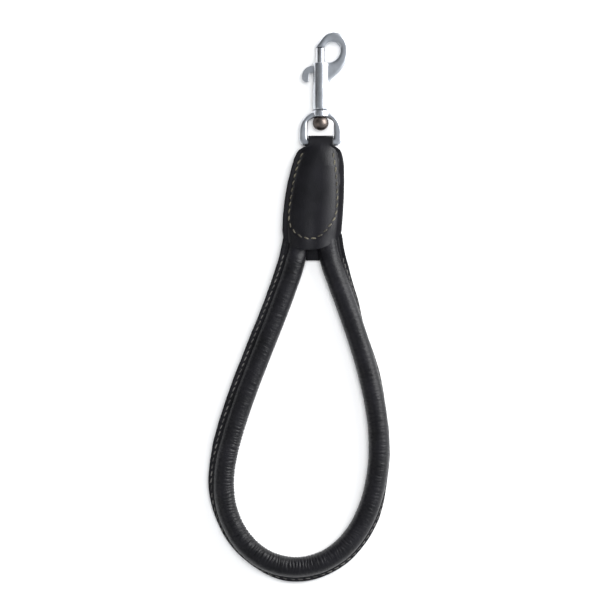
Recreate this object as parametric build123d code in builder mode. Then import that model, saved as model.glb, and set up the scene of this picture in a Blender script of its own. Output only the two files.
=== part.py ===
"""Short rolled-leather lead rope with a swivel bolt snap, laid flat on its back.

Frame: X across, Y along the lead towards the hook, +Z up from the surface that it lies on.
The origin is under the middle of the snap and tab together, on that surface. Millimetres.
"""
import math
import os

from build123d import *

os.makedirs("parts", exist_ok=True)

# ---------------------------------------------------------------- driving dimensions
# Swivel bolt snap
SNAP_X = 3.7                # X of the barrel's axis
SNAP_Z = 5.2                # height of the barrel's axis
BARREL_R = 5.2
BARREL_BASE = 23.5          # Y of the barrel's lower face
BARREL_MOUTH = 54.3         # Y of the barrel's mouth
BORE_R = 3.15
BORE_FLOOR = 26.0           # Y of the bore's blind end
BOLT_R = 3.08
BOLT_TOP = 63.7             # Y of the bolt's end when the gate is shut
BOLT_LENGTH = 18.2
BOLT_TRAVEL = 9.0
HOOK_TIP = 63.9             # Y of the face that the bolt shuts against
HOOK_THICKNESS = 6.4
HOOK_ROUNDING = 1.9
HOLE_R = 8.0                # of the hook's hole, beside the barrel's mouth
SLOT_WIDTH = 3.3
LEVER_ROOT_LOW, LEVER_ROOT_HIGH = 47.6, 52.3
LEVER_THICKNESS = 3.0
LEVER_TANG_R = 1.2          # the lever's round tang, held in the bolt
SPRING_R = 2.4              # radius of the spring's wire centre line
SPRING_WIRE_R = 0.3
SPRING_TURNS = 8
PIN_R = 2.0
PIN_RUNNING_GAP = 0.08
PIN_HEAD_R, PIN_HEAD_HEIGHT = 2.9, 1.3
BALL_R, BALL_LOW, BALL_HIGH = 5.1, 10.1, 18.8

# Swivel eye
BAR_Y = 2.4                 # Y of the bar that the leather folds round
BAR_R = 2.2
EYE_OUTER_R = 13.9
EYE_INNER_HALF = 8.5
EYE_ARC_Y = 9.3             # Y of the centre of the outer arc
CROWN_SPRING = 15.6         # Y where the inner sides turn into the crown
CROWN_LOW, CROWN_HIGH = 19.1, 23.2
CROWN_R = 4.9

# Leather
ROPE_R = 6.75               # the rolled rope, without its seam flange
CORE_R = 4.35
CORE_GAP = 0.03
CORE_INSET = ROPE_R - CORE_R        # from the rope's surface to its core's
SLEEVE_WALL = CORE_INSET - CORE_GAP
PRESSED_WIDTH, PRESSED_HEIGHT = 12.6, 9.8   # the rope where the tab presses it flat
FLANGE_REACH = 11.0         # from the rope's centre line to the flange's cut edge
FLANGE_ROOT = 5.6           # where the flange's two layers leave the rolled part
FLANGE_THICKNESS = 2.6
LEAF = 1.8                  # thickness of the tab's leather
WRAP_GAP = 0.4              # slack round the bar
SEAM_ALLOWANCE = 3.9        # the two leaves lie on each other over this width
TAB_FRONT_END = -67.4
TAB_BACK_END = -74.5
FOLD_HALF_WIDTH = 7.4       # the fold passes inside the eye
SHOULDER = 3.0              # width of each sloping side between the sewn edge and the flat top
TAIL_WIDTH = 7.2            # of the back leaf's end, seen between the rope's legs
FILLER_TOP = -1.4           # Y of the packing's ends in the pocket above the rope

# Thread
STITCH_PITCH = 4.2
STITCH_LENGTH, STITCH_WIDTH, STITCH_HEIGHT = 3.1, 0.9, 0.8
FLANGE_STITCH_OFFSET = 8.6  # from the rope's centre line
TAB_STITCH_INSET = 2.2
TAB_END_INSET = 6.0         # from the leaf's rounded end to the row of stitches across it

# Middle line of the rope's free loop: down the left leg, round the hand end and up the right leg
ROUTE = [
    (-11.4, -71.5), (-22.0, -102.0), (-34.4, -133.0), (-46.2, -163.5), (-54.6, -189.5),
    (-59.2, -210.0), (-59.4, -228.0), (-54.8, -244.8), (-45.6, -259.4), (-32.0, -270.0),
    (-15.4, -274.6), (2.0, -272.2), (17.2, -263.4), (28.4, -249.8), (36.0, -233.6),
    (40.6, -214.0), (42.0, -192.5), (39.4, -168.0), (33.2, -142.0), (25.4, -117.5),
    (15.6, -90.5), (8.5, -71.5),
]
# Its two ends inside the tab, from the mouth of the tab upwards
LEFT_END = [(-10.0, -67.6), (-8.2, -44.0), (-6.1, -21.0)]
RIGHT_END = [(7.2, -67.6), (5.7, -44.0), (7.8, -21.0)]
RUN_SHARE = 0.45            # of the shorter run that each corner's arc takes up

# Tab: Y, middle X, half width and half thickness at each station, from the eye downwards
TAB_STATIONS = [
    (-0.8, 3.2, 12.8, 4.4),
    (-13.0, 2.0, 17.0, ROPE_R),
    (-24.0, 0.7, 18.4, ROPE_R),
    (-38.0, -0.7, 19.2, ROPE_R),
    (-54.0, -1.9, 19.6, ROPE_R),
    (-68.0, -2.3, 19.8, ROPE_R),
]


def corner_radii(points):
    """Arc radius at each corner: as large as its two runs allow."""
    radii = []
    for before, here, after in zip(points, points[1:], points[2:]):
        run_in = Vector(*here) - Vector(*before)
        run_out = Vector(*after) - Vector(*here)
        turn = math.radians(run_in.get_angle(run_out))
        radii.append(RUN_SHARE * min(run_in.length, run_out.length) / math.tan(turn / 2))
    return radii


ROUTE_POINTS = [(x, y, ROPE_R) for x, y in ROUTE]
ROUTE_RADII = corner_radii(ROUTE_POINTS)

with BuildLine() as rope_path:
    FilletPolyline(*ROUTE_POINTS, radius=ROUTE_RADII)
LOOP_LENGTH = rope_path.wire().length


def rope_plane(distance):
    """Plane across the rope at a distance along it: x outwards from the loop, y up."""
    share = distance / LOOP_LENGTH
    tangent = rope_path.wire() % share
    return Plane(origin=rope_path.wire() @ share, x_dir=tangent.cross(Vector(0, 0, 1)),
                 z_dir=tangent)


def snap_plane(y, facing=1):
    """Plane across the barrel's axis at a height Y."""
    return Plane(origin=(SNAP_X, y, SNAP_Z), x_dir=(1, 0, 0), z_dir=(0, facing, 0))


SNAP_FACE = Plane(origin=(SNAP_X, 0, SNAP_Z))     # the snap's own plane, parallel to the surface
SIDE = Plane(origin=(SNAP_X, 0, 0), x_dir=(0, 1, 0), z_dir=(1, 0, 0))   # Y to the right, Z up

# ---------------------------------------------------------------- hook body
with BuildPart() as hook_body:
    with BuildSketch(SNAP_FACE):
        with BuildLine():
            tip_outer, tip_inner = (-3.7, HOOK_TIP), (2.4, HOOK_TIP)
            shoulder = (0.8, 70.2)
            hole_corner, hole_side = (4.6, BARREL_MOUTH), (4.6 + HOLE_R, BARREL_MOUTH + HOLE_R)
            Line(tip_outer, shoulder)
            crest = ThreePointArc(shoulder, (9.3, 74.2), (17.0, 68.6))
            cheek = TangentArc(crest @ 1, (17.2, 55.6), tangent=crest % 1)
            flank = TangentArc(cheek @ 1, (9.2, 44.9), tangent=cheek % 1)
            neck = TangentArc(flank @ 1, (4.6, 37.2), tangent=flank % 1)
            Polyline(neck @ 1, (0, 36.0), (0, BARREL_MOUTH), hole_corner)
            hole = RadiusArc(hole_corner, hole_side, -HOLE_R)
            TangentArc(hole @ 1, tip_inner, tangent=hole % 1)
            Line(tip_inner, tip_outer)
        make_face()
    extrude(amount=HOOK_THICKNESS / 2, both=True)
    face_height = HOOK_THICKNESS / 2 - 0.01
    rims = hook_body.edges().filter_by(lambda e: abs(e.center().Z - SNAP_Z) > face_height)
    fillet([e for e in rims if e.center().Y > BARREL_MOUTH + 0.7 or e.center().X > SNAP_X + 6], HOOK_ROUNDING)
    with BuildSketch(snap_plane(BARREL_BASE)):
        Circle(BARREL_R)
    extrude(amount=BARREL_MOUTH - BARREL_BASE)
    with BuildSketch(snap_plane(BORE_FLOOR)):
        Circle(BORE_R)
    extrude(amount=HOOK_TIP - BORE_FLOOR, mode=Mode.SUBTRACT)
    with BuildSketch(snap_plane(BARREL_BASE)):
        Circle(PIN_R)
    extrude(amount=BORE_FLOOR - BARREL_BASE, mode=Mode.SUBTRACT)
    slot_low = LEVER_ROOT_LOW - BOLT_TRAVEL - 0.4
    slot_high = LEVER_ROOT_HIGH + 0.4
    with BuildSketch(SNAP_FACE):
        with Locations((-BARREL_R, (slot_low + slot_high) / 2)):
            Rectangle(2 * BARREL_R, slot_high - slot_low)
    extrude(amount=SLOT_WIDTH / 2, both=True, mode=Mode.SUBTRACT)

# ---------------------------------------------------------------- latch bolt and its lever
lever_hole = Plane(origin=(SNAP_X, (LEVER_ROOT_LOW + LEVER_ROOT_HIGH) / 2, SNAP_Z), x_dir=(0, 1, 0),
                   z_dir=(-1, 0, 0))
with BuildPart() as latch_bolt:
    with BuildSketch(snap_plane(BOLT_TOP, facing=-1)):
        Circle(BOLT_R)
    extrude(amount=BOLT_LENGTH)
    chamfer(latch_bolt.edges().filter_by(GeomType.CIRCLE), 0.4)
    with BuildSketch(lever_hole):
        Circle(LEVER_TANG_R)
    extrude(amount=BOLT_R + 1, mode=Mode.SUBTRACT)

with BuildPart() as thumb_lever:
    with BuildSketch(lever_hole):
        Circle(LEVER_TANG_R)
    extrude(amount=BOLT_R + 0.6)
    with BuildSketch(SNAP_FACE):
        with BuildLine():
            Polyline((-7.0, LEVER_ROOT_LOW), (-3.3, LEVER_ROOT_LOW), (-3.3, LEVER_ROOT_HIGH),
                     (-5.8, LEVER_ROOT_HIGH))
            ThreePointArc((-5.8, LEVER_ROOT_HIGH), (-10.9, 49.3), (-12.2, 44.5))
            ThreePointArc((-12.2, 44.5), (-10.6, 41.7), (-7.7, 42.2))
            ThreePointArc((-7.7, 42.2), (-7.6, 45.0), (-7.0, LEVER_ROOT_LOW))
        make_face()
    extrude(amount=LEVER_THICKNESS / 2, both=True)
    with BuildSketch(snap_plane(0)):
        Circle(BOLT_R + 0.02)
    extrude(amount=80, mode=Mode.SUBTRACT)
    with BuildSketch(lever_hole):
        Circle(LEVER_TANG_R)
    extrude(amount=BOLT_R + 0.6)

with BuildPart() as bolt_spring:
    spring_low = BORE_FLOOR + PIN_HEAD_HEIGHT + SPRING_WIRE_R + 0.05
    spring_high = BOLT_TOP - BOLT_LENGTH - SPRING_WIRE_R - 0.05
    spring_height = spring_high - spring_low
    with BuildLine():
        coil = Helix(pitch=spring_height / SPRING_TURNS, height=spring_height, radius=SPRING_R,
                     center=(SNAP_X, spring_low, SNAP_Z), direction=(0, 1, 0))
    with BuildSketch(Plane(origin=coil @ 0, z_dir=coil % 0)):
        Circle(SPRING_WIRE_R)
    sweep(is_frenet=True)

# ---------------------------------------------------------------- swivel pin
with BuildPart() as swivel_pin:
    with BuildSketch(Plane(origin=(SNAP_X, 0, SNAP_Z))):
        with BuildLine():
            pin_top = BORE_FLOOR + PIN_HEAD_HEIGHT
            Polyline((0, BALL_LOW), (0, pin_top), (PIN_HEAD_R, pin_top), (PIN_HEAD_R, BORE_FLOOR),
                     (PIN_R, BORE_FLOOR), (PIN_R, BALL_HIGH))
            Spline((PIN_R, BALL_HIGH), (4.5, 17.6), (BALL_R, 15.2), (3.6, 11.8), (0, BALL_LOW),
                   tangents=((1, 0), (-1, 0)))
        make_face()
    revolve(axis=Axis((SNAP_X, 0, SNAP_Z), (0, 1, 0)))

# ---------------------------------------------------------------- swivel eye
with BuildPart() as swivel_eye:
    with BuildSketch(SNAP_FACE):
        with BuildLine():
            Line((EYE_OUTER_R, EYE_ARC_Y), (EYE_OUTER_R, BAR_Y - BAR_R))
            Line((EYE_OUTER_R, BAR_Y - BAR_R), (-EYE_OUTER_R, BAR_Y - BAR_R))
            Line((-EYE_OUTER_R, BAR_Y - BAR_R), (-EYE_OUTER_R, EYE_ARC_Y))
            ThreePointArc((-EYE_OUTER_R, EYE_ARC_Y), (0, EYE_ARC_Y + EYE_OUTER_R), (EYE_OUTER_R, EYE_ARC_Y))
        make_face()
        with BuildLine():
            Polyline((-EYE_INNER_HALF, CROWN_SPRING), (-EYE_INNER_HALF, BAR_Y + BAR_R),
                     (EYE_INNER_HALF, BAR_Y + BAR_R), (EYE_INNER_HALF, CROWN_SPRING))
            ThreePointArc((EYE_INNER_HALF, CROWN_SPRING), (0, CROWN_LOW), (-EYE_INNER_HALF, CROWN_SPRING))
        make_face(mode=Mode.SUBTRACT)
    extrude(amount=BAR_R, both=True)
    upright = swivel_eye.edges().filter_by(Axis.Z)
    inside = upright.filter_by(lambda e: abs(e.center().X - SNAP_X) < EYE_INNER_HALF + 0.5)
    fillet([e for e in upright if e.center().Y < BAR_Y], 4.0)
    fillet([e for e in inside if BAR_Y < e.center().Y < EYE_ARC_Y], 0.8)
    fillet([e for e in inside if e.center().Y > EYE_ARC_Y], 2.4)
    rim = [e for e in swivel_eye.edges() if abs(abs(e.center().Z - SNAP_Z) - BAR_R) < 0.01]
    fillet(rim, 1.7)
    with BuildSketch(snap_plane(CROWN_LOW)):
        Circle(CROWN_R)
    extrude(amount=CROWN_HIGH - CROWN_LOW)
    with BuildSketch(snap_plane(CROWN_LOW - 1)):
        Circle(PIN_R + PIN_RUNNING_GAP)
    extrude(amount=8, mode=Mode.SUBTRACT)


# ---------------------------------------------------------------- leather tab
def station_plane(y):
    """Plane across the tab at Y: x to the right, y up."""
    return Plane(origin=(0, y, 0), x_dir=(1, 0, 0), z_dir=(0, -1, 0))


def at_station(y, column):
    """A tab dimension at any Y, between the stations above and below it."""
    for upper, lower in zip(TAB_STATIONS, TAB_STATIONS[1:]):
        if y >= lower[0]:
            share = (upper[0] - y) / (upper[0] - lower[0])
            return upper[column] + share * (lower[column] - upper[column])
    return TAB_STATIONS[-1][column]


def middle_height(y):
    """Height of the tab's middle plane: level with the bar at the eye, with the rope lower down."""
    share = min((BAR_Y - y) / (BAR_Y - TAB_STATIONS[1][0]), 1)
    return SNAP_Z + share * (ROPE_R - SNAP_Z)


def leaf_section(y):
    """Outer corners of the tab across Y: thin at the sewn edges, flat over the rope."""
    middle, half, thick = (at_station(y, column) for column in (1, 2, 3))
    height, sewn = middle_height(y), half - SEAM_ALLOWANCE + 0.4
    upper = [(-half, LEAF), (-sewn, LEAF), (SHOULDER - sewn, thick),
             (sewn - SHOULDER, thick), (sewn, LEAF), (half, LEAF)]
    lower = [(x, -z) for x, z in reversed(upper)]
    return [(middle + x, height + z) for x, z in upper + lower]


def pocket_section(y, slack=0.0):
    """Corners of the pocket between the two leaves across Y."""
    middle, half, thick = (at_station(y, column) for column in (1, 2, 3))
    height, edge, rise = middle_height(y), half - SEAM_ALLOWANCE - slack, thick - LEAF - slack
    flat = edge - SHOULDER
    corners = [(-edge, 0), (-flat, rise), (flat, rise), (edge, 0), (flat, -rise), (-flat, -rise)]
    return [(middle + x, height + z) for x, z in corners]


with BuildPart() as pocket:                       # a helper: the space between the leaves
    for station in TAB_STATIONS:
        with BuildSketch(station_plane(station[0])):
            Polygon(*pocket_section(station[0]), align=None)
    loft(ruled=True)

with BuildPart() as tab_strap:
    for station in TAB_STATIONS:
        with BuildSketch(station_plane(station[0])):
            Polygon(*leaf_section(station[0]), align=None)
    loft(ruled=True)
    with BuildSketch():                           # the leaves' rounded lower end
        with BuildLine():
            end_middle = at_station(TAB_FRONT_END, 1) + 0.6
            ThreePointArc((end_middle - 24, TAB_FRONT_END + 20), (end_middle, TAB_FRONT_END),
                          (end_middle + 24, TAB_FRONT_END + 20))
            Polyline((end_middle + 24, TAB_FRONT_END + 20), (end_middle + 24, 10), (end_middle - 24, 10),
                     (end_middle - 24, TAB_FRONT_END + 20))
        make_face()
    extrude(amount=3 * ROPE_R, mode=Mode.INTERSECT)
    add(pocket.part, mode=Mode.SUBTRACT)
    fold_inner = BAR_R + WRAP_GAP
    fold_outer = fold_inner + LEAF
    fold_end = -5.0
    end_low, end_high = (middle_height(fold_end) + side * at_station(fold_end, 3) for side in (-1, 1))
    with BuildSketch(SIDE):                       # the fold round the bar, seen from the side
        with BuildLine():
            Line((BAR_Y, SNAP_Z + fold_outer), (fold_end, end_high))
            Line((fold_end, end_high), (fold_end, end_high - LEAF))
            Line((fold_end, end_high - LEAF), (BAR_Y, SNAP_Z + fold_inner))
            ThreePointArc((BAR_Y, SNAP_Z + fold_inner), (BAR_Y + fold_inner, SNAP_Z),
                          (BAR_Y, SNAP_Z - fold_inner))
            Line((BAR_Y, SNAP_Z - fold_inner), (fold_end, end_low + LEAF))
            Line((fold_end, end_low + LEAF), (fold_end, end_low))
            Line((fold_end, end_low), (BAR_Y, SNAP_Z - fold_outer))
            ThreePointArc((BAR_Y, SNAP_Z - fold_outer), (BAR_Y + fold_outer, SNAP_Z),
                          (BAR_Y, SNAP_Z + fold_outer))
        make_face()
    extrude(amount=FOLD_HALF_WIDTH, both=True)
    with BuildSketch():                           # the back leaf's end, seen between the rope's legs
        with Locations((end_middle + 0.4, (TAB_BACK_END - 58) / 2)):
            Rectangle(TAIL_WIDTH, -58 - TAB_BACK_END)
    extrude(amount=LEAF)

with BuildPart() as tab_filler:
    for y in (FILLER_TOP, TAB_STATIONS[1][0], LEFT_END[-1][1] + 1.0):
        with BuildSketch(station_plane(y)):
            Polygon(*pocket_section(y, slack=0.1), align=None)
    loft(ruled=True)

# ---------------------------------------------------------------- rope
def end_plane(x, y):
    """Plane across one of the rope's ends inside the tab, its x away from the other end."""
    return Plane(origin=(x, y, ROPE_R), x_dir=(math.copysign(1, x), 0, 0), z_dir=(0, math.copysign(1, x), 0))


ENDS = [(0, LEFT_END), (LOOP_LENGTH, RIGHT_END)]   # distance along the loop, route inside the tab


def beside_loop(reach):
    """Corners and arc radii of a line beside the loop's middle line, on its outer side."""
    runs = [(Vector(*b) - Vector(*a)).normalized() for a, b in zip(ROUTE, ROUTE[1:])]
    sides = [Vector(run.Y, -run.X) for run in runs]
    corners, radii = [Vector(*ROUTE[0]) + sides[0] * reach], []
    for here, side_in, side_out, radius in zip(ROUTE[1:], sides, sides[1:], ROUTE_RADII):
        corners.append(Vector(*here) + (side_in + side_out) * (reach / (1 + side_in.dot(side_out))))
        radii.append(radius + math.copysign(reach, side_in.cross(side_out).Z))
    corners.append(Vector(*ROUTE[-1]) + sides[-1] * reach)
    return corners, radii


cut_corners, cut_radii = beside_loop(FLANGE_REACH)
root_corners, root_radii = beside_loop(FLANGE_ROOT)

pressed_ends = []                                 # the sleeve's two ends, pressed flat by the tab
for distance, end in ENDS:
    with BuildPart() as pressed_end:
        with BuildSketch(rope_plane(distance)):
            Circle(ROPE_R)
        for x, y in end:
            with BuildSketch(end_plane(x, y)):
                Ellipse(PRESSED_WIDTH / 2, PRESSED_HEIGHT / 2)
        loft(ruled=True)
        with BuildSketch(rope_plane(distance)):
            Circle(CORE_R + CORE_GAP)
        for x, y in end:
            with BuildSketch(end_plane(x, y)):
                Ellipse(PRESSED_WIDTH / 2 - SLEEVE_WALL, PRESSED_HEIGHT / 2 - SLEEVE_WALL)
        loft(ruled=True, mode=Mode.SUBTRACT)
    pressed_ends.append(pressed_end.part)

with BuildPart() as loop_sleeve:
    with BuildSketch(rope_plane(0)):
        Circle(ROPE_R)
        Circle(CORE_R + CORE_GAP, mode=Mode.SUBTRACT)
    sweep(path=rope_path.wire())
    with BuildSketch(Plane.XY.offset(ROPE_R - FLANGE_THICKNESS / 2)):   # the strip's two sewn edges
        with BuildLine():
            cut_edge = FilletPolyline(*cut_corners, radius=cut_radii)
            root = FilletPolyline(*root_corners, radius=root_radii)
            Line(cut_edge @ 0, root @ 0)
            Line(cut_edge @ 1, root @ 1)
        make_face()
    extrude(amount=FLANGE_THICKNESS)
    add(pressed_ends)

with BuildPart() as loop_core:
    with BuildSketch(rope_plane(0)):
        Circle(CORE_R)
    sweep(path=rope_path.wire())
    for distance, end in ENDS:
        with BuildSketch(rope_plane(distance)):
            Circle(CORE_R)
        for x, y in end:
            with BuildSketch(end_plane(x, y)):
                Ellipse(PRESSED_WIDTH / 2 - CORE_INSET, PRESSED_HEIGHT / 2 - CORE_INSET)
        loft(ruled=True)


# ---------------------------------------------------------------- thread
def flange_stitches(height):
    """Places of the stitches along the flange at one height, clear of the tab."""
    count = int((LOOP_LENGTH - 2 * STITCH_PITCH) / STITCH_PITCH)
    places = []
    for i in range(count):
        across = rope_plane((i + 1.5) * STITCH_PITCH)
        point = across.origin + across.x_dir * FLANGE_STITCH_OFFSET
        places.append(Plane(origin=(point.X, point.Y, height), x_dir=across.z_dir, z_dir=(0, 0, 1)))
    return places


def tab_stitch_line(y, side):
    """A point of the tab's side row of stitches at Y."""
    return at_station(y, 1) + side * (at_station(y, 2) - TAB_STITCH_INSET), y


with BuildLine() as tab_seam:
    left_row = Spline(*[tab_stitch_line(y, -1) for y in (-6.0, -24.0, -40.0, -53.0)])
    right_row = Spline(*[tab_stitch_line(y, 1) for y in (-53.0, -40.0, -24.0, -6.0)])
    ThreePointArc(left_row @ 1, (end_middle, TAB_FRONT_END + TAB_END_INSET), right_row @ 0)


def leaf_height(x, y):
    """Half thickness of the tab at a point, from its middle plane to its surface."""
    middle, half, thick = (at_station(y, column) for column in (1, 2, 3))
    slope = (half - SEAM_ALLOWANCE + 0.4 - abs(x - middle)) / SHOULDER
    return LEAF + min(max(slope, 0), 1) * (thick - LEAF)


def tab_stitches(side):
    """Places of the tab's stitches on its front (1) or back (-1)."""
    row = tab_seam.wire()
    count = int(row.length / STITCH_PITCH)
    places = []
    for i in range(count):
        share = (i + 0.5) / count
        point = row @ share
        height = middle_height(point.Y) + side * leaf_height(point.X, point.Y)
        height = max(height, STITCH_HEIGHT / 2)
        places.append(Plane(origin=(point.X, point.Y, height), x_dir=row % share, z_dir=(0, 0, 1)))
    return places


with BuildPart() as tab_front_stitches:
    with Locations(*tab_stitches(1)):
        Box(STITCH_LENGTH, STITCH_WIDTH, STITCH_HEIGHT)

with BuildPart() as tab_back_stitches:
    with Locations(*tab_stitches(-1)):
        Box(STITCH_LENGTH, STITCH_WIDTH, STITCH_HEIGHT)

with BuildPart() as seam_front_stitches:
    with Locations(*flange_stitches(ROPE_R + FLANGE_THICKNESS / 2)):
        Box(STITCH_LENGTH, STITCH_WIDTH, STITCH_HEIGHT)

with BuildPart() as seam_back_stitches:
    with Locations(*flange_stitches(ROPE_R - FLANGE_THICKNESS / 2)):
        Box(STITCH_LENGTH, STITCH_WIDTH, STITCH_HEIGHT)

# ---------------------------------------------------------------- export
PIECES = {
    "hook_body": hook_body, "latch_bolt": latch_bolt, "thumb_lever": thumb_lever,
    "bolt_spring": bolt_spring,
    "swivel_pin": swivel_pin, "swivel_eye": swivel_eye, "tab_strap": tab_strap, "tab_filler": tab_filler,
    "tab_front_stitches": tab_front_stitches, "tab_back_stitches": tab_back_stitches,
    "loop_sleeve": loop_sleeve, "loop_core": loop_core,
    "seam_front_stitches": seam_front_stitches, "seam_back_stitches": seam_back_stitches,
}
for name, piece in PIECES.items():
    piece.part.label = name
    export_step(piece.part, f"parts/{name}.step")

end_lengths = [math.dist(a, b) for end in ([ROUTE[0], *LEFT_END], [ROUTE[-1], *RIGHT_END])
               for a, b in zip(end, end[1:])]
core_volume = math.pi * CORE_R**2 * LOOP_LENGTH
with BuildPart() as free_core:                    # a helper, for the comparison below only
    with BuildSketch(rope_plane(0)):
        Circle(CORE_R)
    sweep(path=rope_path.wire())
print("arc radii, mm:", ", ".join(f"{radius:.0f}" for radius in ROUTE_RADII))
print(f"loop {LOOP_LENGTH:.1f} mm, with its ends in the tab {LOOP_LENGTH + sum(end_lengths):.1f} mm")
print(f"core tube {free_core.part.volume:.0f} mm3, section times length {core_volume:.0f} mm3")
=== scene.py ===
"""Short rolled-leather lead rope with a swivel bolt snap, laid flat on a pale floor.

Row frame in metres: X across, Y along the lead towards the hook, +Z up from the floor.
Lengths named here are in millimetres times MM, so that they read as a saddler's sizes.
"""

import math

import bmesh
import bpy
import numpy as np
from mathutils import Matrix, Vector, kdtree, noise


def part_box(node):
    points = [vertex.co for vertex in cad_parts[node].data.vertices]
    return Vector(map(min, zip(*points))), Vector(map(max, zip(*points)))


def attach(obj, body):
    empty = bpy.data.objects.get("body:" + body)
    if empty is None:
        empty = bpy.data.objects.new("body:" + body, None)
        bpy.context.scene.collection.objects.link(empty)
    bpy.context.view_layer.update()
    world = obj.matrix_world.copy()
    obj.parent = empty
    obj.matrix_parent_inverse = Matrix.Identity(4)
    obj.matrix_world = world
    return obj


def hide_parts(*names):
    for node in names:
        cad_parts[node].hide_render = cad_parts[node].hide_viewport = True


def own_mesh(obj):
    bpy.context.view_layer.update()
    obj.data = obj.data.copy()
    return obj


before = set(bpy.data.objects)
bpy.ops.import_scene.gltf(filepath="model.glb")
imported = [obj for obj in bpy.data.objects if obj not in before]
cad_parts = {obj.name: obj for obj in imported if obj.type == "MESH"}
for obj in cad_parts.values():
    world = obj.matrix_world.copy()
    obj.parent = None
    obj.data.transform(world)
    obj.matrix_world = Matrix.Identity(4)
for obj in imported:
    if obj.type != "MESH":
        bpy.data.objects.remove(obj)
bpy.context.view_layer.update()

MM = 0.001

# ---------------------------------------------------------------- sizes
ROPE_R = 6.75 * MM
PRESSED_HALF_WIDTH = 6.3 * MM     # the rope where the tab presses it
PRESSED_HALF_HEIGHT = 4.9 * MM
FLANGE_HALF = 1.15 * MM           # half the thickness of the two sewn edges together
STITCH_LINE = 8.2 * MM            # from the rope's centre line to the thread
STITCH_PITCH = 4.2 * MM
LEAF = 1.8 * MM                   # thickness of the tab's leather
FRONT_END = -67.4 * MM            # lowest point of the tab's front leaf
FOLD_HALF = 8.1 * MM              # half the width of the fold round the eye's bar
BAR_Y = 2.4 * MM
FOLD_R = 4.4 * MM                 # outer radius of the fold round the bar

# Middle line of the rope: out of the tab, down the left leg, round the hand end and back up into it
ROUTE = [
    (-0.0061, -0.0210), (-0.0082, -0.0440), (-0.0114, -0.0715), (-0.0220, -0.1020), (-0.0344, -0.1330),
    (-0.0462, -0.1635), (-0.0546, -0.1895), (-0.0592, -0.2100), (-0.0594, -0.2280), (-0.0548, -0.2448),
    (-0.0456, -0.2594), (-0.0320, -0.2700), (-0.0154, -0.2746), (0.0020, -0.2722), (0.0172, -0.2634),
    (0.0284, -0.2498), (0.0360, -0.2336), (0.0406, -0.2140), (0.0420, -0.1925), (0.0394, -0.1680),
    (0.0332, -0.1420), (0.0254, -0.1175), (0.0156, -0.0905), (0.0085, -0.0715), (0.0057, -0.0440),
    (0.0078, -0.0210),
]
MOUTH_Y = -71.5 * MM              # where the rope leaves the tab's leaves

# How the flange lies along the free loop: share of the loop, tilt in degrees, reach from the centre line
FLANGE_LIE = [
    (0.00, 0, 10.7), (0.25, -3, 10.8), (0.32, -14, 10.3), (0.39, -31, 9.3), (0.44, -35, 9.0),
    (0.50, -20, 9.9), (0.62, -24, 9.5), (0.69, -38, 8.7), (0.78, -42, 8.4), (0.83, -36, 8.7),
    (0.89, -43, 8.3), (0.94, -26, 9.4), (1.00, 0, 10.5),
]
# How strongly the leather puckers on the loop's inner side: share of the loop, strength
PUCKERS = [
    (0.00, 0.05), (0.05, 0.12), (0.09, 0.34), (0.13, 0.14), (0.20, 0.30), (0.28, 0.90), (0.36, 1.00),
    (0.48, 1.00), (0.55, 0.70), (0.63, 0.42), (0.75, 0.36), (0.90, 0.36), (1.00, 0.05),
]
PUCKER_PITCH = 2.1 * MM
PUCKER_DEPTH = 0.62 * MM

# The tab's outline in millimetres: Y, middle X, half width
TAB_OUTLINE = [
    (-74.0, -2.3, 16.8), (-62.0, -2.2, 18.2), (-54.6, -1.95, 19.3), (-44.2, -1.3, 19.5),
    (-33.8, -0.4, 19.2), (-23.4, 0.65, 18.4),
    (-13.0, 1.95, 17.0), (-8.0, 2.4, 15.9), (-4.6, 2.75, 14.7), (-2.6, 3.0, 13.5), (-1.2, 3.25, 11.4),
    (-0.1, 3.5, 9.3), (0.8, 3.65, 8.3), (2.4, 3.7, 8.1),
]
# The row of stitches round the tab: down its left side, round the end and up its right side
TAB_ROW = [
    (-0.0081, -0.0040), (-0.0094, -0.0078), (-0.0116, -0.0135), (-0.0138, -0.0220), (-0.0154, -0.0320),
    (-0.0166, -0.0400), (-0.0171, -0.0470), (-0.0158, -0.0530), (-0.0116, -0.0578), (-0.0058, -0.0603),
    (0.0004, -0.0602), (0.0050, -0.0572), (0.0095, -0.0520), (0.0133, -0.0462), (0.0144, -0.0385),
    (0.0144, -0.0300), (0.0139, -0.0210), (0.0128, -0.0110), (0.0115, -0.0040),
]

# ---------------------------------------------------------------- camera
VIEW_WIDTH = 390 * MM
VIEW_MIDDLE = (-9.75 * MM, -100.1 * MM)
CAMERA_HEIGHT = 2.0
SENSOR = 36.0

camera = bpy.data.objects.new("camera", bpy.data.cameras.new("camera"))
camera.data.sensor_width = SENSOR
camera.data.lens = SENSOR * CAMERA_HEIGHT / VIEW_WIDTH
camera.location = (*VIEW_MIDDLE, CAMERA_HEIGHT + ROPE_R)
bpy.context.scene.collection.objects.link(camera)
bpy.context.scene.camera = camera


# ---------------------------------------------------------------- helpers for shapes
def add_piece(name, vertices, faces, finish):
    """A closed, smooth-shaded mesh object with one finish."""
    mesh = bpy.data.meshes.new(name)
    mesh.from_pydata([tuple(v) for v in vertices], [], faces)
    mesh.materials.append(finish)
    mesh.shade_smooth()
    piece = bpy.data.objects.new(name, mesh)
    bpy.context.scene.collection.objects.link(piece)
    return piece


def face_outward(piece):
    """Turn every face of a closed piece outward."""
    form = bmesh.new()
    form.from_mesh(piece.data)
    bmesh.ops.recalc_face_normals(form, faces=form.faces)
    form.to_mesh(piece.data)
    form.free()


def crease_sharp_edges(piece, degrees):
    """Shade the edges sharp that turn by more than these degrees."""
    piece.data.set_sharp_from_angle(angle=math.radians(degrees))


def smooth_step(value, low, high):
    """0 below low, 1 above high, smooth between."""
    share = np.clip((value - low) / (high - low), 0, 1)
    return share * share * (3 - 2 * share)


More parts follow.
